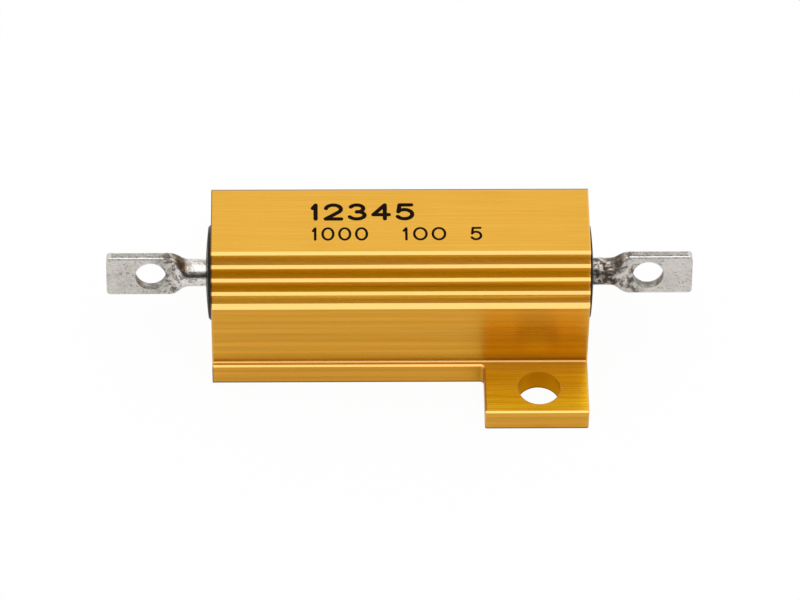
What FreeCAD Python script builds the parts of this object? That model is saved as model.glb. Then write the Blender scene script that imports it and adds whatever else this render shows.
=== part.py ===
import FreeCAD, Part
import math
import os
import Sketcher
from FreeCAD import Placement, Rotation, Vector

# Aluminium housed power resistor, millimetres.
# X runs along the bore, Z is up, -Y is the side of the right hand lug.
# The origin is the middle of the underside, on the surface the part stands on.

sizes = {
    # whole part and housing block
    "body_length": 19.2,
    "top_width": 4.4,
    "edge_bevel": 0.08,
    # cooling fins down each side
    "fin_count": 5,
    "fin_pitch": 0.6,
    "fin_thickness": 0.13,
    "fin_slope_reach": 0.17,
    "fin_slope_drop": 0.08,
    "groove_depth": 0.12,
    "shoulder_reach": 0.28,
    "shoulder_drop": 0.13,
    # base flange, milled away except for one lug on each side
    "base_thickness": 1.32,
    "foot_round": 0.12,
    "ledge_reach": 0.3,
    "lug_reach": 3.38,
    "lug_length": 5.3,
    "cutter_round": 0.18,
    "lug_corner_round": 0.12,
    "lug_hole_diameter": 2.16,
    "lug_hole_to_end": 2.52,
    "lug_hole_to_edge": 1.6,
    # bore and moulding
    "bore_diameter": 5.1,
    "roof_thickness": 1.45,
    "floor_thickness": 1.45,
    "side_thickness": 1.17,
    "fit_clearance": 0.01,
    "dome_rise": 0.31,
    "dome_edge_rise": 0.15,
    "dome_radius": 20.0,
    "dome_rim_bevel": 0.2,
    # wound element inside the moulding
    "end_cover": 1.6,
    "moulding_wall": 1.02,
    "core_chamfer": 0.1,
    "cap_wall": 0.2,
    "cap_floor": 0.25,
    "cap_depth": 1.5,
    "cap_bevel": 0.12,
    "wire_diameter": 0.3,
    "wire_turns": 12,
    "wire_valley": 0.3,
    "wire_end_gap": 0.1,
    # terminals, flattened and pierced at their outer ends
    "element_turn": 16.4,
    "rod_diameter": 1.4,
    "rod_stand_out": 1.25,
    "shoulder_length": 0.95,
    "tab_length": 3.2,
    "tab_width": 2.27,
    "tab_thickness": 0.6,
    "tab_offset": 0.08,
    "tab_edge_round": 0.15,
    "tab_corner_round": 0.3,
    "eyelet_diameter": 1.58,
    "eyelet_setback": 0.94,
}

# sizes that follow from the ones above
body_end = "(Sizes.body_length / 2)"
body_height = "(Sizes.floor_thickness + Sizes.bore_diameter + Sizes.roof_thickness)"
axis_height = "(Sizes.floor_thickness + Sizes.bore_diameter / 2)"
wall_face = "(Sizes.bore_diameter / 2 + Sizes.side_thickness)"
base_edge = "(%s + Sizes.lug_reach)" % wall_face
core_radius = "(Sizes.bore_diameter / 2 - Sizes.moulding_wall - Sizes.cap_wall - 3 * Sizes.fit_clearance)"
element_end = "(%s - Sizes.end_cover)" % body_end
neck = "(%s + Sizes.rod_stand_out)" % body_end
tab_root = "(%s + Sizes.shoulder_length)" % neck
tab_tip = "(%s + Sizes.tab_length)" % tab_root

doc = FreeCAD.newDocument("power_resistor")
sheet = doc.addObject("Spreadsheet::Sheet", "Sizes")
for row, (alias, number) in enumerate(sizes.items(), start=1):
    sheet.set("A%d" % row, alias)
    sheet.set("B%d" % row, str(number))
    sheet.setAlias("B%d" % row, alias)
doc.recompute()


def size(formula):
    """The number that a formula over the sheet's names gives."""
    found = sheet.evalExpression(formula)
    return float(getattr(found, "Value", found))


def new_body(name):
    body = doc.addObject("PartDesign::Body", name)
    body.Label = name
    return body


def new_sketch(body, name, role, offset=None):
    """A sketch on one of the body's own planes, moved along that plane's normal by offset."""
    sketch = body.newObject("Sketcher::SketchObject", name)
    plane = [each for each in body.Origin.OriginFeatures if each.Role == role][0]
    sketch.AttachmentSupport = [(plane, "")]
    sketch.MapMode = "FlatFace"
    if offset:
        sketch.setExpression("AttachmentOffset.Base.z", offset)
    doc.recompute()
    return sketch


def constrain(sketch, wanted):
    """Adds constraints in one go. Each is (constraint, formula), where the formula may be None."""
    first = sketch.ConstraintCount
    sketch.addConstraint([constraint for constraint, formula in wanted])
    for index, (constraint, formula) in enumerate(wanted, start=first):
        if formula:
            sketch.setExpression("Constraints[%d]" % index, formula)


def pinned(edge, end, along, across):
    """The two distances from the sketch's origin that hold a point in place."""
    return [
        (Sketcher.Constraint("DistanceX", -1, 1, edge, end, size(along)), along),
        (Sketcher.Constraint("DistanceY", -1, 1, edge, end, size(across)), across),
    ]


def arc_between(start, end, radius, turn):
    """Arc from start to end, anticlockwise for turn 1 and clockwise for turn -1."""
    chord = end - start
    side = Vector(-chord.y, chord.x, 0).normalize() * turn
    centre = (start + end) * 0.5 + side * math.sqrt(max(radius ** 2 - chord.Length ** 2 / 4, 0))
    first, last = (start, end) if turn > 0 else (end, start)
    begin = math.atan2(first.y - centre.y, first.x - centre.x)
    finish = math.atan2(last.y - centre.y, last.x - centre.x)
    if finish < begin:
        finish += 2 * math.pi
    return Part.ArcOfCircle(Part.Circle(centre, Vector(0, 0, 1), radius), begin, finish)


def whole_corner(x, y, rounding=None, bow=None):
    return x, y, rounding, bow


def draw_outline(sketch, corners):
    """Closed anticlockwise outline.

    A corner is (x, y), (x, y, rounding) or (x, y, None, radius of the outward arc to the next corner).
    """
    corners = [whole_corner(*corner) for corner in corners]
    count = len(corners)
    spots = [Vector(size(x), size(y), 0) for x, y, rounding, bow in corners]
    heading = [(spots[(i + 1) % count] - spots[i]).normalize() for i in range(count)]

    # how far each side stops short of its corner, where the corner is rounded
    trim = []
    for i, (x, y, rounding, bow) in enumerate(corners):
        if rounding:
            half_turn = math.acos(max(-1.0, min(1.0, heading[i - 1].dot(heading[i])))) / 2
            trim.append(size(rounding) * math.tan(half_turn))
        else:
            trim.append(0.0)

    sides = []
    wanted = []
    for i, (x, y, rounding, bow) in enumerate(corners):
        start = spots[i] + heading[i] * trim[i]
        end = spots[(i + 1) % count] - heading[i] * trim[(i + 1) % count]
        if bow:
            sides.append(sketch.addGeometry(arc_between(start, end, size(bow), 1), False))
            wanted.append((Sketcher.Constraint("Radius", sides[-1], size(bow)), bow))
        else:
            sides.append(sketch.addGeometry(Part.LineSegment(start, end), False))

    for i, (x, y, rounding, bow) in enumerate(corners):
        before, after = sides[i - 1], sides[i]
        if not rounding:
            wanted.append((Sketcher.Constraint("Coincident", before, 2, after, 1), None))
            wanted += pinned(after, 1, x, y)
            continue
        turn = 1 if heading[i - 1].cross(heading[i]).z > 0 else -1
        start = spots[i] - heading[i - 1] * trim[i]
        end = spots[i] + heading[i] * trim[i]
        arc = sketch.addGeometry(arc_between(start, end, size(rounding), turn), False)
        near, far = (1, 2) if turn > 0 else (2, 1)
        mark = sketch.addGeometry(Part.Point(spots[i]), True)
        wanted += [
            (Sketcher.Constraint("Tangent", before, 2, arc, near), None),
            (Sketcher.Constraint("Tangent", arc, far, after, 1), None),
            (Sketcher.Constraint("Radius", arc, size(rounding)), rounding),
            (Sketcher.Constraint("PointOnObject", mark, 1, before), None),
            (Sketcher.Constraint("PointOnObject", mark, 1, after), None),
        ]
        wanted += pinned(mark, 1, x, y)
    constrain(sketch, wanted)
    doc.recompute()


def draw_circle(sketch, along, across, diameter):
    spot = Vector(size(along), size(across), 0)
    ring = sketch.addGeometry(Part.Circle(spot, Vector(0, 0, 1), size(diameter) / 2), False)
    constrain(sketch, [(Sketcher.Constraint("Diameter", ring, size(diameter)), diameter)]
              + pinned(ring, 3, along, across))


def pad(body, name, sketch, length, symmetric=False):
    feature = body.newObject("PartDesign::Pad", name)
    feature.Profile = sketch
    feature.SideType = "Symmetric" if symmetric else "One side"
    feature.setExpression("Length", length)
    doc.recompute()
    return feature


def cut_through(body, name, sketch):
    """Cuts the sketch right through the body, both ways, and makes sure that it took something away."""
    before = body.Shape.Volume
    feature = body.newObject("PartDesign::Pocket", name)
    feature.Profile = sketch
    feature.Type = "ThroughAll"
    feature.SideType = "Symmetric"
    doc.recompute()
    if body.Shape.Volume > before - 1e-6:
        raise RuntimeError(name + " cuts nothing")
    return feature


def revolve(body, name, sketch):
    feature = body.newObject("PartDesign::Revolution", name)
    feature.Profile = sketch
    feature.ReferenceAxis = (sketch, ["H_Axis"])
    feature.Angle = 360
    doc.recompute()
    return feature


def dress_edges(body, name, kind, radius, wanted):
    """Fillet or Chamfer on the edges of the body's tip that the wanted test picks."""
    base = body.Tip
    picked = ["Edge%d" % (i + 1) for i, edge in enumerate(base.Shape.Edges) if wanted(edge)]
    if not picked:
        raise RuntimeError(name + " finds no edge")
    feature = body.newObject("PartDesign::" + kind, name)
    feature.Base = (base, picked)
    feature.setExpression("Radius" if kind == "Fillet" else "Size", radius)
    doc.recompute()
    return feature


def lies_on(edge, **planes):
    """True where both ends and the middle of an edge have the given coordinates."""
    middle = edge.valueAt((edge.FirstParameter + edge.LastParameter) / 2)
    spots = [vertex.Point for vertex in edge.Vertexes] + [middle]
    return all(abs(getattr(spot, axis) - level) < 1e-4 for spot in spots for axis, level in planes.items())


def place_on_axis(body):
    """Sits a piece that is drawn about X on the bore's axis, turned with the whole wound element."""
    body.Placement = Placement(Vector(0, 0, 0), Rotation(Vector(-1, 0, 0), 1))
    body.setExpression("Placement.Base.z", axis_height)
    body.setExpression("Placement.Rotation.Angle", "Sizes.element_turn")
    doc.recompute()


# Housing: an extruded profile, bored, with its flange milled back to two diagonal lugs

def fin_corners():
    """One side of the profile from the foot up, every fin a step further in than the one below.

    A fin is a thin lip with a sloping top edge, and a shallow groove lies under each lip.
    """
    count = int(size("Sizes.fin_count"))
    step = "(%s - Sizes.top_width / 2) / (Sizes.fin_count - 1)" % wall_face

    def tip(fin):
        return "(Sizes.top_width / 2 + %s * %d)" % (step, fin)

    def top(fin):
        return "(%s - Sizes.fin_pitch * %d)" % (body_height, fin)

    lowest = count - 1
    corners = [
        (base_edge, "0"),
        (base_edge, "Sizes.base_thickness"),
        (wall_face, "Sizes.base_thickness", "Sizes.foot_round"),
        (wall_face, top(lowest) + " - Sizes.shoulder_drop"),
        (wall_face + " - Sizes.shoulder_reach", top(lowest)),
    ]
    for fin in range(lowest - 1, -1, -1):
        root = tip(fin) + " - Sizes.groove_depth"
        underside = top(fin) + " - Sizes.fin_thickness"
        corners += [
            (root, top(fin + 1)),
            (root, underside),
            (tip(fin), underside),
            (tip(fin), top(fin) + " - Sizes.fin_slope_drop"),
            (tip(fin) + " - Sizes.fin_slope_reach", top(fin)),
        ]
    return corners


def make_housing():
    body = new_body("housing")

    profile = new_sketch(body, "HalfProfile", "YZ_Plane")
    draw_outline(profile, [("0", "0")] + fin_corners() + [("0", body_height)])
    half = pad(body, "HalfExtrusion", profile, "Sizes.body_length", symmetric=True)
    mirror = body.newObject("PartDesign::Mirrored", "WholeExtrusion")
    mirror.Originals = [half]
    mirror.MirrorPlane = (profile, ["V_Axis"])
    body.Tip = mirror
    doc.recompute()

    bore = new_sketch(body, "BoreCircle", "YZ_Plane")
    draw_circle(bore, "0", axis_height, "Sizes.bore_diameter")
    cut_through(body, "Bore", bore)

    # the cutter leaves a lug at front right and its twin at rear left, and a narrow ledge beside each
    ledge = "(%s + Sizes.ledge_reach)" % wall_face
    lug_side = "(%s - Sizes.lug_length)" % body_end
    past_end = "(%s + Sizes.lug_reach)" % body_end
    past_edge = "(%s + Sizes.lug_reach)" % base_edge
    for name, along, across in (("Front", "", "-"), ("Rear", "-", "")):
        far = "" if along else "-"
        milled = new_sketch(body, name + "MilledArea", "XY_Plane")
        draw_outline(milled, [
            (along + lug_side, across + ledge, "Sizes.cutter_round"),
            (far + past_end, across + ledge),
            (far + past_end, across + past_edge),
            (along + lug_side, across + past_edge),
        ])
        cut_through(body, name + "Milling", milled)

    holes = new_sketch(body, "LugHoleCircles", "XY_Plane")
    for along, across in (("", "-"), ("-", "")):
        draw_circle(holes, "%s(%s - Sizes.lug_hole_to_end)" % (along, body_end),
                    "%s(%s - Sizes.lug_hole_to_edge)" % (across, base_edge), "Sizes.lug_hole_diameter")
    cut_through(body, "LugHoles", holes)

    half_length = size(body_end)
    half_base = size(base_edge)
    inner_x = size(lug_side)
    base_top = size("Sizes.base_thickness")

    def lug_corner(edge):
        for sign in (1, -1):
            for x in (inner_x, half_length):
                if lies_on(edge, x=sign * x, y=-sign * half_base):
                    return True
        return False

    def flange_rim(edge):
        beyond_wall = abs(edge.CenterOfMass.y) > size(wall_face + " + Sizes.foot_round") + 1e-4
        around_hole = abs(edge.Length - math.pi * size("Sizes.lug_hole_diameter")) < 1e-3
        return lies_on(edge, z=base_top) and beyond_wall and not around_hole

    dress_edges(body, "LugCorners", "Fillet", "Sizes.lug_corner_round", lug_corner)
    dress_edges(body, "BrokenRim", "Chamfer", "Sizes.edge_bevel", flange_rim)
    return body


# Moulding: fills the bore, stands out of it in a shallow dome at each end, hollow for the element

def make_moulding():
    body = new_body("moulding")
    outside = "(Sizes.bore_diameter / 2 - Sizes.fit_clearance)"
    around_rod = "(Sizes.rod_diameter / 2 + Sizes.fit_clearance)"
    around_cap = "(%s + Sizes.cap_wall + 2 * Sizes.fit_clearance)" % core_radius
    around_wire = "(%s + Sizes.wire_diameter + 2 * Sizes.fit_clearance)" % core_radius
    rod_end = "(%s + Sizes.dome_rise)" % body_end
    rim = "(%s + Sizes.dome_edge_rise)" % body_end
    cap_mouth = "(%s - Sizes.cap_depth - Sizes.fit_clearance)" % element_end

    section = new_sketch(body, "MouldingSection", "XZ_Plane")
    draw_outline(section, [
        ("-" + rod_end, around_rod),
        ("-" + element_end, around_rod),
        ("-" + element_end, around_cap),
        ("-" + cap_mouth, around_cap),
        ("-" + cap_mouth, around_wire),
        (cap_mouth, around_wire),
        (cap_mouth, around_cap),
        (element_end, around_cap),
        (element_end, around_rod),
        (rod_end, around_rod, None, "Sizes.dome_radius"),
        (rim, outside),
        ("-" + rim, outside, None, "Sizes.dome_radius"),
    ])
    revolve(body, "Moulded", section)

    rim_x = size(rim)

    def dome_rim(edge):
        return lies_on(edge, x=rim_x) or lies_on(edge, x=-rim_x)

    dress_edges(body, "DomeRims", "Chamfer", "Sizes.dome_rim_bevel", dome_rim)
    place_on_axis(body)
    return body


# Ceramic core: a plain rod that carries the winding and the two pressed caps

def make_core():
    body = new_body("ceramic_core")
    half = "(%s - Sizes.cap_floor)" % element_end
    section = new_sketch(body, "CoreSection", "XZ_Plane")
    draw_outline(section, [
        ("-" + half, "0"),
        (half, "0"),
        (half, core_radius + " - Sizes.core_chamfer"),
        (half + " - Sizes.core_chamfer", core_radius),
        ("-" + half + " + Sizes.core_chamfer", core_radius),
        ("-" + half, core_radius + " - Sizes.core_chamfer"),
    ])
    revolve(body, "Core", section)
    place_on_axis(body)
    return body


# End caps: drawn steel cups pressed over the ends of the core

def make_cap(name, side):
    body = new_body(name)
    sign = "" if side > 0 else "-"
    floor_out = sign + element_end
    floor_in = "%s(%s - Sizes.cap_floor)" % (sign, element_end)
    shoulder = "%s(%s - Sizes.cap_bevel)" % (sign, element_end)
    mouth = "%s(%s - Sizes.cap_depth)" % (sign, element_end)
    inside = core_radius + " + Sizes.fit_clearance"
    outside = inside + " + Sizes.cap_wall"
    corners = [
        (floor_out, "0"),
        (floor_out, outside + " - Sizes.cap_bevel"),
        (shoulder, outside),
        (mouth, outside),
        (mouth, inside),
        (floor_in, inside),
        (floor_in, "0"),
    ]
    section = new_sketch(body, name + "Section", "XZ_Plane")
    draw_outline(section, corners if side > 0 else corners[::-1])
    revolve(body, name + "Cup", section)
    place_on_axis(body)
    return body


# Winding: the turns of resistance wire between the caps as one sleeve, with a ridge for each turn

def make_winding():
    body = new_body("resistance_winding")
    half = "(%s - Sizes.cap_depth - Sizes.wire_end_gap)" % element_end
    inside = "(%s + Sizes.fit_clearance)" % core_radius
    valley = inside + " + Sizes.wire_diameter * Sizes.wire_valley"
    crest = inside + " + Sizes.wire_diameter"
    turns = int(size("Sizes.wire_turns"))
    corners = [("-" + half, inside), (half, inside), (half, valley)]
    for turn in range(turns, 0, -1):
        for share, height in ((turn - 0.5, crest), (turn - 1, valley)):
            corners.append(("%s * (2 * %g / Sizes.wire_turns - 1)" % (half, share), height))
    section = new_sketch(body, "WindingSection", "XZ_Plane")
    draw_outline(section, corners)
    revolve(body, "Winding", section)
    place_on_axis(body)
    return body


# Terminals: round rod welded to the cap, flattened to a tab outside the housing and pierced

shoulder_stations = 5
short_arc = 3

def make_terminal(name, side):
    body = new_body(name)
    sign = "" if side > 0 else "-"
    rod_circle = new_sketch(body, name + "RodCircle", "YZ_Plane", sign + element_end)
    draw_circle(rod_circle, "0", "0", "Sizes.rod_diameter")
    rod = pad(body, name + "Rod", rod_circle, "Sizes.rod_stand_out + Sizes.end_cover")
    rod.Reversed = side < 0
    doc.recompute()

    # the shoulder swells from the rod's round section to the tab's flat one along a smooth step
    sections = []
    for station in range(shoulder_stations):
        share = station / (shoulder_stations - 1)
        sketch = new_sketch(body, "%sShoulder%d" % (name, station), "YZ_Plane",
                            "%s(%s + Sizes.shoulder_length * %g)" % (sign, neck, share))
        smooth = share * share * (3 - 2 * share)
        draw_outline(sketch, flattened_section(smooth) if station else round_section())
        sections.append(sketch)
    shoulder = body.newObject("PartDesign::AdditiveLoft", name + "Shoulder")
    shoulder.Profile = sections[0]
    shoulder.Sections = sections[1:]
    shoulder.Ruled = False
    doc.recompute()

    flat = pad(body, name + "Tab", sections[-1], "Sizes.tab_length")
    flat.Reversed = side < 0
    doc.recompute()

    eyelet = new_sketch(body, name + "EyeletCircle", "XZ_Plane")
    draw_circle(eyelet, "%s(%s + Sizes.eyelet_setback)" % (sign, tab_root), "0", "Sizes.eyelet_diameter")
    cut_through(body, name + "Eyelet", eyelet)

    # the press tool trims the tab's outer corners round
    tip = sign + tab_tip
    beyond_tip = "%s(%s + Sizes.tab_corner_round)" % (sign, tab_tip)
    behind_corner = "%s(%s - 2 * Sizes.tab_corner_round)" % (sign, tab_tip)
    edge = "Sizes.tab_width / 2"
    beyond_edge = "(Sizes.tab_width / 2 + Sizes.tab_corner_round)"
    corners = [
        (behind_corner, edge),
        (tip, edge, "Sizes.tab_corner_round"),
        (tip, "-" + edge, "Sizes.tab_corner_round"),
        (behind_corner, "-" + edge),
        (behind_corner, "-" + beyond_edge),
        (beyond_tip, "-" + beyond_edge),
        (beyond_tip, beyond_edge),
        (behind_corner, beyond_edge),
    ]
    trimming = new_sketch(body, name + "TrimmedCorners", "XZ_Plane")
    draw_outline(trimming, corners if side > 0 else corners[::-1])
    cut_through(body, name + "Trimming", trimming)
    place_on_axis(body)
    return body


def flattened_section(blend):
    """Corners of the terminal's section, from nearly round for blend 0 to the tab's oblong for blend 1."""
    high = "((Sizes.rod_diameter + (Sizes.tab_width - Sizes.rod_diameter) * %g) / 2)" % blend
    deep = "((Sizes.rod_diameter + (Sizes.tab_thickness - Sizes.rod_diameter) * %g) / 2)" % blend
    rounding = "(%s * %g + Sizes.tab_edge_round * %g)" % (deep, 1 - blend, blend)
    middle = "Sizes.tab_offset * %g" % blend
    return [
        ("-%s - %s" % (middle, deep), "-" + high, rounding),
        ("-%s + %s" % (middle, deep), "-" + high, rounding),
        ("-%s + %s" % (middle, deep), high, rounding),
        ("-%s - %s" % (middle, deep), high, rounding),
    ]


def round_section():
    """The rod's circle in eight arcs, a short one for each flat side of the sections that follow."""
    radius = "Sizes.rod_diameter / 2"
    corners = []
    for quarter in range(4):
        for lean in (-short_arc, short_arc):
            angle = math.radians(90 * quarter - 90 + lean)
            along = radius + " * %.9f" % math.cos(angle)
            across = radius + " * %.9f" % math.sin(angle)
            corners.append((along, across, None, radius))
    return corners


pieces = [
    make_housing(),
    make_moulding(),
    make_core(),
    make_winding(),
    make_cap("end_cap_left", -1),
    make_cap("end_cap_right", 1),
    make_terminal("terminal_left", -1),
    make_terminal("terminal_right", 1),
]
doc.recompute()

for each in doc.Objects:
    if "Invalid" in each.State or "Error" in each.State:
        raise RuntimeError("%s failed: %s" % (each.Name, each.State))

os.makedirs("parts", exist_ok=True)
for piece in pieces:
    shape = piece.Shape
    if shape.isNull() or not shape.isValid() or len(shape.Solids) != 1:
        raise RuntimeError("%s is not one sound solid" % piece.Label)
    shape.exportStep("parts/%s.step" % piece.Label)
    box = shape.BoundBox
    print("%-20s %8.3f mm3   x %7.3f %7.3f   y %7.3f %7.3f   z %7.3f %7.3f" % (
        piece.Label, shape.Volume, box.XMin, box.XMax, box.YMin, box.YMax, box.ZMin, box.ZMax))
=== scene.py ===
import math

import bmesh
import bpy
from mathutils import Matrix, Vector


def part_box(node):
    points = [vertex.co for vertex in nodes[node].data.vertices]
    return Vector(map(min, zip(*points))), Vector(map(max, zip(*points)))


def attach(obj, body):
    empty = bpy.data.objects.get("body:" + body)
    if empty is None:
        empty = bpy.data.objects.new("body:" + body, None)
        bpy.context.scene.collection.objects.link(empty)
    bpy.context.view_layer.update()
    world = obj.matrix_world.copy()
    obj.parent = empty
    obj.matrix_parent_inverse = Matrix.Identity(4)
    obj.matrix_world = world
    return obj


mm = 0.001

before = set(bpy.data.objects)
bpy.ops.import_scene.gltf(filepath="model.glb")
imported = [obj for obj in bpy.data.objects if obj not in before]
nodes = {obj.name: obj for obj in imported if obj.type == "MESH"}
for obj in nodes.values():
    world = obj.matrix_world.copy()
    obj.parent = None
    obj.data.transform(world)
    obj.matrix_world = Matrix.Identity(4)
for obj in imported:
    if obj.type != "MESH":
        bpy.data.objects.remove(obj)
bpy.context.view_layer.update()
print("frame loaded:", ", ".join(sorted(nodes)))


# small helpers for node trees

def addNode(tree, kind, **settings):
    node = tree.nodes.new(kind)
    for name, value in settings.items():
        setattr(node, name, value)
    return node


def feed(tree, socket, source):
    # a source is another socket, or a plain number or colour
    if isinstance(source, bpy.types.NodeSocket):
        tree.links.new(source, socket)
    else:
        socket.default_value = source


def feedAll(tree, node, sources):
    for name, source in sources.items():
        feed(tree, node.inputs[name], source)


def doMath(tree, operation, first, second=None, third=None, clamp=False):
    node = addNode(tree, "ShaderNodeMath", operation=operation, use_clamp=clamp)
    for socket, source in zip(node.inputs, (first, second, third)):
        if source is not None:
            feed(tree, socket, source)
    return node.outputs[0]


def multiply(tree, *factors):
    product = factors[0]
    for factor in factors[1:]:
        product = doMath(tree, "MULTIPLY", product, factor)
    return product


def largest(tree, *masks):
    result = masks[0]
    for mask in masks[1:]:
        result = doMath(tree, "MAXIMUM", result, mask)
    return result


def absolute(tree, value):
    return doMath(tree, "ABSOLUTE", value)


def remap(tree, value, fromMin, fromMax, toMin=0.0, toMax=1.0, smooth=False):
    node = addNode(tree, "ShaderNodeMapRange", interpolation_type="SMOOTHSTEP" if smooth else "LINEAR")
    feedAll(tree, node, {"Value": value, "From Min": fromMin, "From Max": fromMax,
                         "To Min": toMin, "To Max": toMax})
    return node.outputs["Result"]


def between(tree, value, start, full, fade, end, smooth=False):
    # rises from start to full, and falls again from fade to end
    return multiply(tree, remap(tree, value, start, full, smooth=smooth),
                    remap(tree, value, end, fade, smooth=smooth))


def mixColours(tree, share, first, second):
    node = addNode(tree, "ShaderNodeMix", data_type="RGBA")
    feed(tree, node.inputs["Factor"], share)
    for socket, source in zip([s for s in node.inputs if s.type == "RGBA"], (first, second)):
        feed(tree, socket, (*source, 1.0) if isinstance(source, tuple) else source)
    return [s for s in node.outputs if s.type == "RGBA"][0]


def noise(tree, vector, scale, detail=3.0, roughness=0.55, distortion=0.0):
    node = addNode(tree, "ShaderNodeTexNoise")
    feedAll(tree, node, {"Vector": vector, "Scale": scale, "Detail": detail,
                         "Roughness": roughness, "Distortion": distortion})
    return node.outputs["Fac"]


def doVector(tree, operation, first, second=None):
    node = addNode(tree, "ShaderNodeVectorMath", operation=operation)
    for socket, source in zip(node.inputs, (first, second)):
        if source is not None:
            feed(tree, socket, source)
    return node.outputs["Value" if operation == "DISTANCE" else "Vector"]


def splitAxes(tree, vector):
    node = addNode(tree, "ShaderNodeSeparateXYZ")
    feed(tree, node.inputs[0], vector)
    return node.outputs


def geometry(tree, name):
    return addNode(tree, "ShaderNodeNewGeometry").outputs[name]


def objectPlace(tree):
    return addNode(tree, "ShaderNodeTexCoord").outputs["Object"]


def openness(tree, reach, samples, inside=False):
    # 1 in the open, less where the piece itself stands in the way within the reach
    node = addNode(tree, "ShaderNodeAmbientOcclusion", inside=inside, only_local=True, samples=samples)
    feed(tree, node.inputs["Distance"], reach)
    return node.outputs["AO"]


def bumpNormal(tree, height, strength, distance, normal=None):
    node = addNode(tree, "ShaderNodeBump")
    feedAll(tree, node, {"Height": height, "Strength": strength, "Distance": distance})
    if normal is not None:
        feed(tree, node.inputs["Normal"], normal)
    return node.outputs["Normal"]


def newGroup(name, inputs, outputs):
    # an effect that several materials share, with the sockets it is fed by and gives
    tree = bpy.data.node_groups.new(name, "ShaderNodeTree")
    for label, kind, default in inputs:
        socket = tree.interface.new_socket(label, in_out="INPUT", socket_type=kind)
        if default is not None:
            socket.default_value = default
    for label, kind in outputs:
        tree.interface.new_socket(label, in_out="OUTPUT", socket_type=kind)
    return tree, addNode(tree, "NodeGroupInput").outputs, addNode(tree, "NodeGroupOutput").inputs


def placeGroup(tree, group, sources):
    node = addNode(tree, "ShaderNodeGroup", node_tree=group)
    feedAll(tree, node, sources)
    return node.outputs


def newMaterial(name):
    material = bpy.data.materials.new(name)
    material.use_nodes = True
    tree = material.node_tree
    return material, tree, tree.nodes["Principled BSDF"]


# effects shared by the materials

def makeStreaks():
    # fine lines that run along X, or along Y on faces that look along X
    tree, given, out = newGroup("streaks", [
        ("Place", "NodeSocketVector", None),
        ("Lines per mm", "NodeSocketFloat", 9.0),
        ("Length in mm", "NodeSocketFloat", 6.0),
    ], [("Fine", "NodeSocketFloat"), ("Broad", "NodeSocketFloat")])
    axes = splitAxes(tree, given["Place"])
    facing = splitAxes(tree, geometry(tree, "True Normal"))
    onEnd = doMath(tree, "GREATER_THAN", absolute(tree, facing["X"]), 0.7)
    across = multiply(tree, given["Lines per mm"], 1 / mm)
    along = doMath(tree, "DIVIDE", 1 / mm, given["Length in mm"])
    difference = doMath(tree, "SUBTRACT", across, along)
    scaleX = doMath(tree, "MULTIPLY_ADD", difference, onEnd, along)
    scaleY = doMath(tree, "SUBTRACT", across, multiply(tree, difference, onEnd))
    stretched = addNode(tree, "ShaderNodeCombineXYZ")
    for axis, scale in (("X", scaleX), ("Y", scaleY), ("Z", across)):
        feed(tree, stretched.inputs[axis], multiply(tree, axes[axis], scale))
    feed(tree, out["Fine"], noise(tree, stretched.outputs[0], 1.0, detail=3.0, roughness=0.65))
    feed(tree, out["Broad"], noise(tree, stretched.outputs[0], 0.22, detail=2.0))
    return tree


def makeEdgeWear():
    # painted highlight and wear: bright where the metal turns a convex corner within the given reach
    tree, given, out = newGroup("edgeWearAndSheen", [
        ("Reach", "NodeSocketFloat", 0.08 * mm),
        ("Place", "NodeSocketVector", None),
    ], [("Mask", "NodeSocketFloat")])
    corner = remap(tree, openness(tree, given["Reach"], 6, inside=True), 0.92, 0.55)
    patches = remap(tree, noise(tree, given["Place"], 0.9 / mm, detail=4.0), 0.35, 0.7, 0.35, 1.0)
    feed(tree, out["Mask"], doMath(tree, "MULTIPLY", corner, patches, clamp=True))
    return tree


def makePits():
    # small round pits and grains, as on tin that was hot dipped
    tree, given, out = newGroup("pits", [
        ("Place", "NodeSocketVector", None),
        ("Pit size in mm", "NodeSocketFloat", 0.12),
        ("Share", "NodeSocketFloat", 0.5),
    ], [("Height", "NodeSocketFloat"), ("Pits", "NodeSocketFloat")])
    scale = doMath(tree, "DIVIDE", 1 / mm, given["Pit size in mm"])
    cells = addNode(tree, "ShaderNodeTexVoronoi", feature="SMOOTH_F1")
    feedAll(tree, cells, {"Vector": given["Place"], "Scale": scale})
    where = noise(tree, given["Place"], multiply(tree, scale, 0.35), detail=3.0)
    inPatch = remap(tree, where, doMath(tree, "SUBTRACT", 1.0, given["Share"]), 0.75, smooth=True)
    pit = multiply(tree, remap(tree, cells.outputs["Distance"], 0.42, 0.1, smooth=True), inPatch)
    grain = noise(tree, given["Place"], multiply(tree, scale, 1.7), detail=4.0, roughness=0.7)
    feed(tree, out["Pits"], pit)
    feed(tree, out["Height"], doMath(tree, "SUBTRACT", grain, multiply(tree, pit, 0.9)))
    return tree


streaks = makeStreaks()
edgeWearAndSheen = makeEdgeWear()
pits = makePits()
print("shared effects made")


# gold anodised housing

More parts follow.
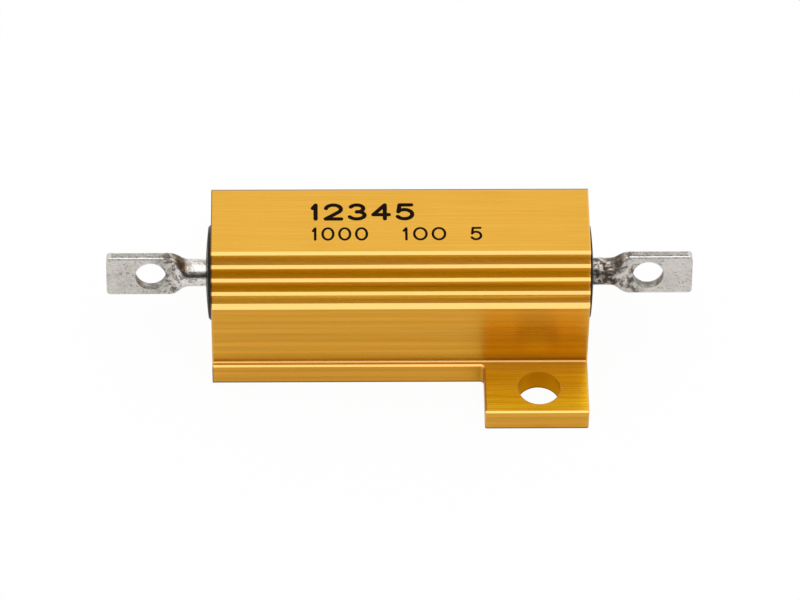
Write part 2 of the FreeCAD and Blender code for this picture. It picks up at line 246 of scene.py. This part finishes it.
goldFinish = {
    "light": (0.84, 0.455, 0.060),
    "deep": (0.77, 0.400, 0.043),
    # painted shade on upright faces
    "upright": (0.83, 0.400, 0.036),
    "streak": (0.56, 0.270, 0.012),         # darkest lines on the upright faces
    "paintedHollowTone": (0.88, 0.545, 0.016),      # painted reflection tint, down in the grooves and against the wall
    "shelterReach": 2.4 * mm,
    # painted light in two grooves
    "paintedGrooveLight": (1.0, 0.70, 0.14),
    "paintedGrooveLights": [(5.55, 5.98, 1.0), (7.38, 7.8, 0.75)],      # from, to in mm, and share
    # painted reflection on the lugs' tops
    "paintedLugTop": (1.0, 0.615, 0.022),
    "lugStreak": (0.80, 0.44, 0.010),
    "lugFrom": (3.8 * mm, 4.6 * mm),        # from the middle, where the flange gives way to a lug's top
    # painted shade on the walls of the lug holes
    "holeWallShade": (0.58, 0.29, 0.008),
    "highlightAndWear": (0.83, 0.475, 0.145),         # painted highlight on the sloping lips, and edge wear
    "wearAndSheenReach": 0.12 * mm,
    "wearAndSheenShare": 0.8,
    "footTop": 1.45 * mm,                   # the flange and the lugs end below this
    "paintedFootHighlight": (0.90, 0.52, 0.15),         # painted highlight on the rounded edges of the flange and the lugs, and at the right end
    "footEdgeFrom": (3.86 * mm, 3.95 * mm),
    "footEdgeLift": 1.06,
    "rim": (0.20, 0.095, 0.012),            # painted shade, a thin dark line where a face ends
    "rimShare": 0.88,
    "rimWidth": 0.065 * mm,
    "backEdge": 2.2 * mm,                   # of the top face, from the middle
    "roughness": 0.28,
    "roughnessSwing": 0.1,
    "highlightAndWearRoughness": 0.24,
    "shelteredRoughness": 0.4,
    "spread": 0.6,                          # how far the drawn lines spread a reflection
    "coat": 0.15,
    "coatRoughness": 0.2,
    "linesPerMm": 13.0,
    "lineLength": 8.0,
    "lineDepth": 0.004 * mm,
    "lineStrength": 0.35,
}


def liftedNormal(tree, lift):
    upwards = addNode(tree, "ShaderNodeCombineXYZ")
    feed(tree, upwards.inputs["Z"], lift)
    return doVector(tree, "NORMALIZE", doVector(tree, "ADD", geometry(tree, "Normal"), upwards.outputs[0]))


def makeGoldAnodised():
    material, tree, shader = newMaterial("goldAnodised")
    finish = goldFinish
    place = objectPlace(tree)
    axes = splitAxes(tree, place)
    lean = splitAxes(tree, geometry(tree, "True Normal"))
    fromMiddle = absolute(tree, axes["Y"])
    upright = remap(tree, absolute(tree, lean["Z"]), 0.5, 0.2)
    onEnd = remap(tree, absolute(tree, lean["X"]), 0.3, 0.7)
    atBase = remap(tree, axes["Z"], finish["footTop"] + 0.15 * mm, finish["footTop"])

    # drawn lines over a soft cloud
    lines = placeGroup(tree, streaks, {"Place": place, "Lines per mm": finish["linesPerMm"],
                                       "Length in mm": finish["lineLength"]})
    tone = doMath(tree, "ADD", remap(tree, lines["Fine"], 0.3, 0.7, -0.45, 0.45),
                  remap(tree, lines["Broad"], 0.3, 0.7, -0.2, 0.2))
    cloud = remap(tree, noise(tree, place, 0.28 / mm, detail=2.0), 0.35, 0.65, 0.4, 0.7)
    tone = doMath(tree, "ADD", tone, cloud, clamp=True)
    colour = mixColours(tree, tone, finish["deep"], finish["light"])
    # painted shade: upright faces take a darker colour
    colour = mixColours(tree, upright, colour, finish["upright"])

    # painted reflection: grooves and corners, where the metal mirrors metal, take a tint by how closed in
    # they are
    shelter = remap(tree, openness(tree, finish["shelterReach"], 8), 0.95, 0.5)
    aboveBase = doMath(tree, "MULTIPLY_ADD", atBase, -0.8, 1.0)
    colour = mixColours(tree, multiply(tree, shelter, aboveBase), colour, finish["paintedHollowTone"])
    # painted light: two grooves are paler still
    for bottom, top, share in finish["paintedGrooveLights"]:
        height = between(tree, axes["Z"], (bottom - 0.05) * mm, bottom * mm, top * mm, (top + 0.1) * mm)
        pale = multiply(tree, height, remap(tree, shelter, 0.3, 0.6), share)
        colour = mixColours(tree, pale, colour, finish["paintedGrooveLight"])

    # painted reflection on the lugs' tops, and painted shade on the walls of their holes
    level = remap(tree, lean["Z"], 0.9, 0.98)
    paintedLugTop = multiply(tree, atBase, level, remap(tree, fromMiddle, *finish["lugFrom"]))
    lugColour = mixColours(tree, remap(tree, lines["Fine"], 0.38, 0.6), finish["lugStreak"], finish["paintedLugTop"])
    colour = mixColours(tree, paintedLugTop, colour, lugColour)
    inHole = multiply(tree, atBase, upright, remap(tree, shelter, 0.5, 0.8))
    colour = mixColours(tree, inHole, colour, finish["holeWallShade"])

    # upright faces show the drawn lines much more
    drawn = doMath(tree, "ADD", remap(tree, lines["Broad"], 0.62, 0.38, 0.0, 0.6),
                   remap(tree, lines["Fine"], 0.6, 0.35, 0.0, 0.4))
    drawn = multiply(tree, drawn, doMath(tree, "MULTIPLY_ADD", shelter, 0.3, 0.75), upright)
    colour = mixColours(tree, drawn, colour, finish["streak"])

    # painted highlight: faces that lean between upright and level are the lips and the broken edges,
    # brightened together with the edge wear
    leaning = between(tree, lean["Z"], 0.3, 0.5, 0.95, 0.99)
    wearAndSheen = placeGroup(tree, edgeWearAndSheen, {"Place": place, "Reach": finish["wearAndSheenReach"]})["Mask"]
    highlightAndWear = largest(tree, multiply(tree, wearAndSheen, finish["wearAndSheenShare"]), leaning)
    colour = mixColours(tree, highlightAndWear, colour, finish["highlightAndWear"])
    paintedFootHighlight = multiply(tree, leaning, atBase, remap(tree, fromMiddle, *finish["footEdgeFrom"], 0.35, 1.0))
    colour = mixColours(tree, paintedFootHighlight, colour, finish["paintedFootHighlight"])

    # painted highlight: faces end in a bright line at the right; painted shade: a dark one at the back and
    # the left, and a painted contact shadow at the ground
    width, end = finish["rimWidth"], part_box("housing")[1].x
    right = remap(tree, axes["X"], end - 1.3 * width, end - 0.8 * width)
    right = doMath(tree, "MULTIPLY", right, doMath(tree, "SUBTRACT", 0.7, onEnd), clamp=True)
    colour = mixColours(tree, right, colour, finish["paintedFootHighlight"])
    back = remap(tree, axes["Y"], finish["backEdge"] - 2 * width, finish["backEdge"] - width)
    back = multiply(tree, back, remap(tree, lean["Z"], 0.6, 0.95))
    left = multiply(tree, remap(tree, axes["X"], width - end, width / 2 - end),
                    doMath(tree, "SUBTRACT", 1.0, onEnd))
    contactShadow = multiply(tree, upright, remap(tree, axes["Z"], 1.6 * width, width))
    rim = largest(tree, back, left, contactShadow)
    rim = doMath(tree, "MULTIPLY", rim, finish["rimShare"], clamp=True)
    feed(tree, shader.inputs["Base Color"], mixColours(tree, rim, colour, finish["rim"]))

    swing = finish["roughnessSwing"]
    rough = doMath(tree, "MULTIPLY_ADD", lines["Fine"], swing, finish["roughness"] - swing / 2)
    rough = remap(tree, highlightAndWear, 0.0, 1.0, rough, finish["highlightAndWearRoughness"])
    rough = remap(tree, shelter, 0.0, 1.0, rough, finish["shelteredRoughness"])
    uncoated = largest(tree, remap(tree, shelter, 0.0, 0.5), paintedLugTop)
    # the drawn lines spread reflections across themselves, along a way that no face looks
    across = doVector(tree, "CROSS_PRODUCT", geometry(tree, "Normal"), (1.0, 0.05, 0.0))
    spread = multiply(tree, remap(tree, leaning, 0.0, 1.0, finish["spread"], 0.0),
                      doMath(tree, "SUBTRACT", 1.0, onEnd))
    # the small rounded edges at the foot are turned upwards, to catch the light overhead
    turned = liftedNormal(tree, multiply(tree, paintedFootHighlight, finish["footEdgeLift"]))
    feedAll(tree, shader, {
        "Metallic": 1.0,
        "Roughness": rough,
        "Tangent": across,
        "Anisotropic": spread,
        "Coat Weight": remap(tree, uncoated, 0.0, 1.0, finish["coat"], 0.0),
        "Coat Roughness": finish["coatRoughness"],
        "Normal": bumpNormal(tree, lines["Fine"], finish["lineStrength"], finish["lineDepth"], turned),
    })
    return material


# dark moulding in the bore

mouldingFinish = {
    "black": (0.005, 0.0045, 0.004),
    "grey": (0.013, 0.012, 0.011),
    # painted sheen along the moulding's edges, with wear
    "paintedEdgeSheen": (0.12, 0.117, 0.11),
    "wearAndSheenReach": 0.12 * mm,
    "wearAndSheenShare": 0.6,
    "roughness": 0.4,
    "roughnessSwing": 0.14,
    "shine": 0.16,
    "grainSize": 0.05,
    "grainShare": 0.45,
    "grainDepth": 0.01 * mm,
}


def makeDarkMoulding():
    material, tree, shader = newMaterial("darkMoulding")
    finish = mouldingFinish
    place = objectPlace(tree)
    grain = placeGroup(tree, pits, {"Place": place, "Pit size in mm": finish["grainSize"],
                                    "Share": finish["grainShare"]})
    wearAndSheen = placeGroup(tree, edgeWearAndSheen, {"Place": place, "Reach": finish["wearAndSheenReach"]})["Mask"]
    cloud = remap(tree, noise(tree, place, 1.1 / mm, detail=4.0), 0.3, 0.7)
    colour = mixColours(tree, cloud, finish["black"], finish["grey"])
    swing = finish["roughnessSwing"]
    feedAll(tree, shader, {
        "Base Color": mixColours(tree, multiply(tree, wearAndSheen, finish["wearAndSheenShare"]), colour, finish["paintedEdgeSheen"]),
        "Specular IOR Level": finish["shine"],
        "Roughness": doMath(tree, "MULTIPLY_ADD", cloud, swing, finish["roughness"] - swing / 2),
        "Normal": bumpNormal(tree, grain["Height"], 0.4, finish["grainDepth"]),
    })
    return material


# tinned terminals: pale and pitted, browned by flux near the neck

terminalFinish = {
    "tin": (0.80, 0.755, 0.70),
    "dullTin": (0.56, 0.52, 0.475),
    "polished": (0.92, 0.89, 0.85),
    "paintedTopEdgeShade": (0.14, 0.13, 0.115),         # painted shade on the tab's level upper edge
    # painted highlight on the tab's rounded edges, with wear
    "edge": (0.92, 0.91, 0.89),
    "wearAndSheenReach": 0.1 * mm,
    "wearAndSheenShare": 0.4,
    "paintedHollowTone": (0.12, 0.105, 0.087),      # painted shade on the eyelet's wall, in the corners and low on the rod
    "shelterReach": 2.0 * mm,
    "flux": (0.075, 0.056, 0.041),
    "stainedMetallic": 0.5,
    # distances from the middle of the part
    "tabFrom": (11.0 * mm, 11.9 * mm),
    "stainOnTab": (10.5 * mm, 11.1 * mm, 11.8 * mm, 12.9 * mm),
    "stainOverNeck": (10.8 * mm, 11.05 * mm, 11.3 * mm, 11.7 * mm),
    "tabRoughness": 0.34,
    "stainRoughness": 0.2,
    "pitSize": 0.13,
    "pitShare": 0.6,
    "pitDepth": 0.03 * mm,
    "pitStrength": 0.6,
}


def makeTinned(name, rodRoughness, rodStain, stainSeed):
    material, tree, shader = newMaterial(name)
    finish = terminalFinish
    place = objectPlace(tree)
    outward = absolute(tree, splitAxes(tree, place)["X"])
    lean = splitAxes(tree, geometry(tree, "True Normal"))
    sideways = absolute(tree, lean["Y"])
    onTab = remap(tree, outward, *finish["tabFrom"], smooth=True)
    onRod = doMath(tree, "SUBTRACT", 1.0, onTab)

    # each terminal takes its stains from another place in the same noise
    spot = doVector(tree, "ADD", place, (0.0, stainSeed * mm, 0.0))
    pitted = placeGroup(tree, pits, {"Place": spot, "Pit size in mm": finish["pitSize"],
                                     "Share": finish["pitShare"]})
    wearAndSheen = placeGroup(tree, edgeWearAndSheen, {"Place": spot, "Reach": finish["wearAndSheenReach"]})["Mask"]
    blotch = noise(tree, spot, 2.7 / mm, detail=6.0, roughness=0.72, distortion=0.5)
    cloud = noise(tree, spot, 0.8 / mm, detail=5.0, roughness=0.6)
    fineGrain = noise(tree, spot, 7.0 / mm, detail=3.0, roughness=0.7)

    dull = doMath(tree, "ADD", remap(tree, cloud, 0.38, 0.66, 0.0, 0.7),
                  remap(tree, fineGrain, 0.35, 0.65, -0.25, 0.45), clamp=True)
    colour = mixColours(tree, dull, finish["tin"], finish["dullTin"])
    colour = mixColours(tree, multiply(tree, onRod, 1.0 - rodStain), colour, finish["polished"])

    # painted shade: the tab's level upper edge is darker and speckled; painted highlight: its rounded edges
    # are bright, together with the edge wear
    level = multiply(tree, remap(tree, lean["Z"], 0.93, 0.98), onTab)
    speckledTopShade = multiply(tree, level, remap(tree, fineGrain, 0.4, 0.6, 0.55, 1.0))
    colour = mixColours(tree, speckledTopShade, colour, finish["paintedTopEdgeShade"])
    leaning = multiply(tree, between(tree, lean["Z"], 0.25, 0.5, 0.9, 0.97),
                       remap(tree, sideways, 0.2, 0.4), onTab)
    edgeHighlightAndWear = largest(tree, multiply(tree, wearAndSheen, finish["wearAndSheenShare"]), leaning)
    colour = mixColours(tree, edgeHighlightAndWear, colour, finish["edge"])

    # painted shade: dark in the corners and the eyelet, and low on the rod's sides
    around = openness(tree, finish["shelterReach"], 6)
    cornerShade = multiply(tree, remap(tree, around, 0.95, 0.72), remap(tree, blotch, 0.4, 0.6, 0.5, 1.0))
    eyeletShade = multiply(tree, remap(tree, sideways, 0.5, 0.2), remap(tree, around, 0.99, 0.93), onTab,
                        remap(tree, blotch, 0.4, 0.6, 0.6, 1.0))
    lowOnRodShade = multiply(tree, between(tree, lean["Z"], 0.42, 0.5, 0.76, 0.82), onRod,
                     remap(tree, blotch, 0.38, 0.58, 0.15, 0.85))
    colour = mixColours(tree, largest(tree, cornerShade, eyeletShade, lowOnRodShade), colour, finish["paintedHollowTone"])

    # flux stains
    nearNeck = between(tree, outward, *finish["stainOnTab"], smooth=True)
    stainOnTab = multiply(tree, nearNeck, remap(tree, blotch, 0.44, 0.6, 0.0, 0.85, smooth=True))
    overNeck = multiply(tree, between(tree, outward, *finish["stainOverNeck"]),
                        remap(tree, lean["Z"], 0.3, 0.6), remap(tree, blotch, 0.32, 0.5, 0.3, 0.9))
    rodBlotch = remap(tree, blotch, 0.5 - 0.08 * rodStain, 0.62 - 0.04 * rodStain,
                      0.0, 0.4 + 0.6 * rodStain, smooth=True)
    specks = multiply(tree, pitted["Pits"], 0.5)
    stain = largest(tree, stainOnTab, overNeck, multiply(tree, onRod, rodBlotch), specks)

    rough = doMath(tree, "MULTIPLY_ADD", onTab, finish["tabRoughness"] - rodRoughness, rodRoughness)
    relief = multiply(tree, pitted["Height"], remap(tree, onTab, 0.0, 1.0, 0.15 + rodStain * 1.4, 1.0))
    feedAll(tree, shader, {
        "Base Color": mixColours(tree, stain, colour, finish["flux"]),
        "Metallic": remap(tree, stain, 0.0, 1.0, 1.0, finish["stainedMetallic"]),
        "Roughness": doMath(tree, "ADD", rough, multiply(tree, stain, finish["stainRoughness"]), clamp=True),
        "Normal": bumpNormal(tree, relief, finish["pitStrength"], finish["pitDepth"]),
    })
    return material


# the pieces sealed inside the moulding

def makeCeramic():
    material, tree, shader = newMaterial("whiteCeramic")
    chalk = noise(tree, objectPlace(tree), 2.5 / mm, detail=5.0)
    chalky = remap(tree, chalk, 0.3, 0.7)
    feedAll(tree, shader, {
        "Base Color": mixColours(tree, chalky, (0.80, 0.79, 0.75), (0.88, 0.87, 0.85)),
        "Roughness": remap(tree, chalk, 0.3, 0.7, 0.55, 0.7),
        "Normal": bumpNormal(tree, chalk, 0.3, 0.01 * mm),
    })
    return material


def makeInnerMetal(name, pale, dark, roughness):
    material, tree, shader = newMaterial(name)
    place = objectPlace(tree)
    lines = placeGroup(tree, streaks, {"Place": place, "Lines per mm": 7.0, "Length in mm": 2.0})
    wearAndSheen = placeGroup(tree, edgeWearAndSheen, {"Place": place})["Mask"]
    colour = mixColours(tree, remap(tree, lines["Fine"], 0.3, 0.7), dark, pale)
    feedAll(tree, shader, {
        "Base Color": mixColours(tree, wearAndSheen, colour, pale),
        "Metallic": 1.0,
        "Roughness": remap(tree, lines["Broad"], 0.3, 0.7, roughness, roughness + 0.12),
        "Normal": bumpNormal(tree, lines["Fine"], 0.25, 0.005 * mm),
    })
    return material


finishes = {
    "housing": makeGoldAnodised(),
    "moulding": makeDarkMoulding(),
    "ceramic_core": makeCeramic(),
    "resistance_winding": makeInnerMetal("resistanceWire", (0.52, 0.50, 0.46), (0.36, 0.34, 0.31), 0.3),
    "end_cap_left": makeInnerMetal("platedSteel", (0.70, 0.69, 0.66), (0.52, 0.51, 0.48), 0.22),
    "terminal_left": makeTinned("tinnedTerminalLeft", rodRoughness=0.15, rodStain=0.22, stainSeed=0.0),
    "terminal_right": makeTinned("tinnedTerminalRight", rodRoughness=0.3, rodStain=1.0, stainSeed=7.3),
}
finishes["end_cap_right"] = finishes["end_cap_left"]

for name, material in finishes.items():
    for slot in nodes[name].material_slots:
        slot.material = material
print("finishes given to", len(finishes), "nodes")


# plain numbers printed on the top face, a bold row and a thin one

numberPrint = {
    "rows": [
        # name, digits, left end, foot, digit width, height, gap and stroke, all in mm
        ("print_bold_row", "12345", -4.55, 0.03, 1.01, 1.15, 0.2, 0.22),
        ("print_thin_row_1", "1000", -4.49, -1.31, 0.67, 0.89, 0.18, 0.13),
        ("print_thin_row_2", "100", 0.10, -1.31, 0.75, 0.89, 0.19, 0.13),
        ("print_thin_row_3", "5", 3.52, -1.31, 0.63, 0.89, 0.18, 0.13),
    ],
    "narrowOne": 0.45,      # the 1 takes this share of a digit's width
    "thickness": 0.006 * mm,
    "proud": 0.6,           # this share of the thickness stands above the metal
    "layerStep": 0.1,       # and each later stroke of a digit by this share more
    "ink": (0.007, 0.003, 0.001),
    "fadedInk": (0.035, 0.017, 0.004),
    "shine": 0.04,
}


def bow(middle, reach, start, end, steps=20):
    # points along an ellipse's arc, in degrees, in a box one unit wide and high
    angles = [math.radians(start + (end - start) * step / steps) for step in range(steps + 1)]
    return [(middle[0] + reach[0] * math.cos(a), middle[1] + reach[1] * math.sin(a)) for a in angles]


# each digit as smooth strokes, so that a sharp corner is where two of them meet
digitStrokes = {
    "0": [bow((0.5, 0.5), (0.5, 0.5), 90, 450, 40)],
    "1": [[(0.0, 0.76), (0.62, 1.0)], [(0.62, 1.0), (0.62, 0.0)]],
    "2": [bow((0.5, 0.7), (0.48, 0.3), 170, -38) + [(0.0, 0.0)], [(0.0, 0.0), (1.0, 0.0)]],
    "3": [bow((0.47, 0.75), (0.42, 0.25), 155, -90), bow((0.47, 0.26), (0.5, 0.26), 88, -155)],
    "4": [[(0.74, 1.0), (0.0, 0.3)], [(0.0, 0.3), (1.0, 0.3)], [(0.74, 1.0), (0.74, 0.0)]],
    "5": [[(0.92, 1.0), (0.16, 1.0)], [(0.16, 1.0), (0.08, 0.5)], bow((0.47, 0.33), (0.5, 0.33), 142, -150)],
}


def makeInk():
    material, tree, shader = newMaterial("printInk")
    lines = placeGroup(tree, streaks, {"Place": objectPlace(tree), "Lines per mm": 14.0, "Length in mm": 1.2})
    faded = remap(tree, lines["Fine"], 0.6, 0.85)
    feedAll(tree, shader, {
        "Base Color": mixColours(tree, faded, numberPrint["ink"], numberPrint["fadedInk"]),
        "Roughness": remap(tree, lines["Broad"], 0.3, 0.7, 0.5, 0.65),
        "Specular IOR Level": numberPrint["shine"],
        "Normal": bumpNormal(tree, lines["Fine"], 0.3, 0.003 * mm),
    })
    return material


def strokeOutline(points, half):
    # the rim of a pen stroke of constant width: up its left side, round the end and back down
    spots = [Vector(point) for point in points]
    ways = [(b - a).normalized() for a, b in zip(spots, spots[1:])]
    left, right = [], []
    for i, spot in enumerate(spots):
        before, after = ways[max(i - 1, 0)], ways[min(i, len(ways) - 1)]
        way = (before + after).normalized()
        out = Vector((-way.y, way.x)) * half / way.dot(after)
        left.append(spot + out)
        right.append(spot - out)

    def roundEnd(spot, way):
        out = Vector((-way.y, way.x))
        turns = [math.radians(30 * step) for step in range(1, 6)]
        return [spot + (out * math.cos(turn) + way * math.sin(turn)) * half for turn in turns]

    return left + roundEnd(spots[-1], ways[-1]) + right[::-1] + roundEnd(spots[0], -ways[0])


def ringRims(points, half):
    # the inner and outer rim of a closed stroke
    spots = [Vector(point) for point in points[:-1]]
    rims = ([], [])
    for i, spot in enumerate(spots):
        way = (spots[(i + 1) % len(spots)] - spots[i - 1]).normalized()
        out = Vector((-way.y, way.x))
        rims[0].append(spot + out * half)
        rims[1].append(spot - out * half)
    return rims


def addCorners(shape, rim, level):
    return [shape.verts.new((spot.x * mm, spot.y * mm, level)) for spot in rim]


def giveThickness(shape, faces):
    # downwards, into the metal
    made = bmesh.ops.extrude_face_region(shape, geom=faces)
    for vertex in [each for each in made["geom"] if isinstance(each, bmesh.types.BMVert)]:
        vertex.co.z -= numberPrint["thickness"]
    bmesh.ops.recalc_face_normals(shape, faces=shape.faces[:])


def addStroke(shape, rim, level):
    face = shape.faces.new(addCorners(shape, rim, level))
    triangles = bmesh.ops.triangulate(shape, faces=[face], ngon_method="EAR_CLIP")["faces"]
    giveThickness(shape, triangles)


def addRing(shape, inner, outer, level):
    inside = addCorners(shape, inner, level)
    outside = addCorners(shape, outer, level)
    count = len(inside)
    faces = [shape.faces.new((inside[i], inside[(i + 1) % count], outside[(i + 1) % count], outside[i]))
             for i in range(count)]
    giveThickness(shape, faces)


def makePrint():
    ink = makeInk()
    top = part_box("housing")[1].z
    for name, digits, left, foot, width, height, gap, stroke in numberPrint["rows"]:
        shape = bmesh.new()
        across = left + stroke / 2
        for digit in digits:
            wide = width * (numberPrint["narrowOne"] if digit == "1" else 1.0) - stroke
            for layer, points in enumerate(digitStrokes[digit]):
                drawn = [(across + x * wide, foot + stroke / 2 + y * (height - stroke)) for x, y in points]
                share = numberPrint["proud"] + numberPrint["layerStep"] * layer
                level = top + numberPrint["thickness"] * share
                if digit == "0":
                    addRing(shape, *ringRims(drawn, stroke / 2), level)
                else:
                    addStroke(shape, strokeOutline(drawn, stroke / 2), level)
            across += wide + stroke + gap
        mesh = bpy.data.meshes.new(name)
        shape.to_mesh(mesh)
        shape.free()
        mesh.materials.append(ink)
        piece = bpy.data.objects.new(name, mesh)
        bpy.context.scene.collection.objects.link(piece)
        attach(piece, "root")


makePrint()
print("numbers printed on the top face")


# white floor, soft studio light and the camera

studio = {
    "floorHalf": 2.0,
    "floorWhite": (0.94, 0.94, 0.94),
    "floorGlow": 0.96,          # share of the floor's white that no shadow reaches, as the camera sees it
    "floorGlowInMetal": 0.5,
    "floorInMetal": 0.84,       # how bright that share is in the metal
    "holeInset": (2.52 * mm, 1.6 * mm),     # a lug hole's middle, from the housing's end and side
    "holeReach": (2.1 * mm, 1.2 * mm),
    # painted reflected light on the floor near the lug holes
    "paintedHoleLight": (0.86, 0.62, 0.02),
    "frontLight": 0.09,         # the world's brightness low in front of the part
    # from and to, in degrees up from the front and over the top, and the brightness from there on
    "worldBands": [(28, 48, 0.58), (50, 62, 0.92), (112, 132, 0.93)],
}

softbox = {
    "name": "overheadSoftbox",
    "place": (0.0, 0.01, 0.5),
    "width": 0.9,
    "depth": 0.44,
    "brightness": 0.7,
}

cameraSetup = {
    # angles in degrees, lengths in mm
    "elevation": 50.0,
    "swing": 1.5,       # turned to the right of straight ahead
    "roll": 0.956,
    "distance": 280.03,
    "lens": 245.94,
    "target": (0.02, -1.156, 3.134),
}


def addFloor():
    mesh = bpy.data.meshes.new("floor")
    shape = bmesh.new()
    bmesh.ops.create_grid(shape, x_segments=8, y_segments=8, size=studio["floorHalf"])
    shape.to_mesh(mesh)
    shape.free()
    floor = bpy.data.objects.new("floor", mesh)
    bpy.context.scene.collection.objects.link(floor)

    material, tree, shader = newMaterial("whiteFloor")
    tree.nodes.remove(shader)
    rays = addNode(tree, "ShaderNodeLightPath").outputs
    mirrored = largest(tree, rays["Is Glossy Ray"], rays["Is Transmission Ray"])
    seen = largest(tree, multiply(tree, rays["Is Camera Ray"], studio["floorGlow"]),
                   multiply(tree, mirrored, studio["floorGlowInMetal"]))

    # painted light: down a lug's hole the metal finds only light that other metal has coloured, so the floor
    # near a hole glows gold in the metal
    low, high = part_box("housing")
    fromEnd, fromSide = studio["holeInset"]
    frontHole = Vector((high.x - fromEnd, low.y + fromSide, 0.0))
    nearHoles = []
    for hole in (frontHole, -frontHole):
        offset = doVector(tree, "DISTANCE", objectPlace(tree), hole)
        nearHoles.append(remap(tree, offset, *studio["holeReach"], smooth=True))
    downHole = multiply(tree, largest(tree, *nearHoles), mirrored)

    paper = addNode(tree, "ShaderNodeBsdfDiffuse")
    feed(tree, paper.inputs["Color"], (*studio["floorWhite"], 1.0))
    glow = addNode(tree, "ShaderNodeEmission")
    feedAll(tree, glow, {"Strength": remap(tree, mirrored, 0.0, 1.0, 1.0, studio["floorInMetal"]),
                         "Color": mixColours(tree, downHole, (1.0, 1.0, 1.0), studio["paintedHoleLight"])})
    both = addNode(tree, "ShaderNodeMixShader")
    share = largest(tree, seen, downHole)
    for socket, source in zip(both.inputs, (share, paper.outputs[0], glow.outputs[0])):
        feed(tree, socket, source)
    feed(tree, tree.nodes["Material Output"].inputs["Surface"], both.outputs[0])
    mesh.materials.append(material)


def lightWorld():
    world = bpy.data.worlds.new("studioWorld")
    bpy.context.scene.world = world
    world.use_nodes = True
    tree = world.node_tree
    axes = splitAxes(tree, addNode(tree, "ShaderNodeTexCoord").outputs["Generated"])
    turn = doMath(tree, "ARCTAN2", axes["Z"], multiply(tree, axes["Y"], -1.0))
    light = studio["frontLight"]
    for start, end, brightness in studio["worldBands"]:
        light = remap(tree, turn, math.radians(start), math.radians(end), light, brightness, smooth=True)
    cameraRay = addNode(tree, "ShaderNodeLightPath").outputs["Is Camera Ray"]
    feedAll(tree, tree.nodes["Background"], {"Strength": remap(tree, cameraRay, 0.0, 1.0, light, 1.0),
                                             "Color": (1.0, 1.0, 1.0, 1.0)})


def addSoftbox():
    lamp = bpy.data.lights.new(softbox["name"], "AREA")
    lamp.shape = "RECTANGLE"
    lamp.size, lamp.size_y = softbox["width"], softbox["depth"]
    lamp.energy = softbox["brightness"] * math.pi * softbox["width"] * softbox["depth"]
    holder = bpy.data.objects.new(softbox["name"], lamp)
    holder.location = softbox["place"]
    towardsPart = -Vector(softbox["place"])
    holder.rotation_euler = towardsPart.to_track_quat("-Z", "Y").to_euler()
    bpy.context.scene.collection.objects.link(holder)


def addCamera():
    up, swing, roll = (math.radians(cameraSetup[name]) for name in ("elevation", "swing", "roll"))
    ahead = Vector((math.sin(swing) * math.cos(up), math.cos(swing) * math.cos(up), -math.sin(up)))
    right = Vector((math.cos(swing), -math.sin(swing), 0))
    above = right.cross(ahead)
    rolledRight = math.cos(roll) * right + math.sin(roll) * above
    rolledUp = math.cos(roll) * above - math.sin(roll) * right
    turned = Matrix((rolledRight, rolledUp, -ahead)).transposed().to_4x4()
    target = Vector(cameraSetup["target"]) * mm
    data = bpy.data.cameras.new("camera")
    data.lens = cameraSetup["lens"]
    data.sensor_width = 36.0
    data.clip_start, data.clip_end = 0.01, 20.0
    camera = bpy.data.objects.new("camera", data)
    camera.matrix_world = Matrix.Translation(target - ahead * cameraSetup["distance"] * mm) @ turned
    bpy.context.scene.collection.objects.link(camera)
    bpy.context.scene.camera = camera


addFloor()
lightWorld()
addSoftbox()
addCamera()
bpy.context.scene.view_settings.view_transform = "Standard"
print("floor, light and camera set")
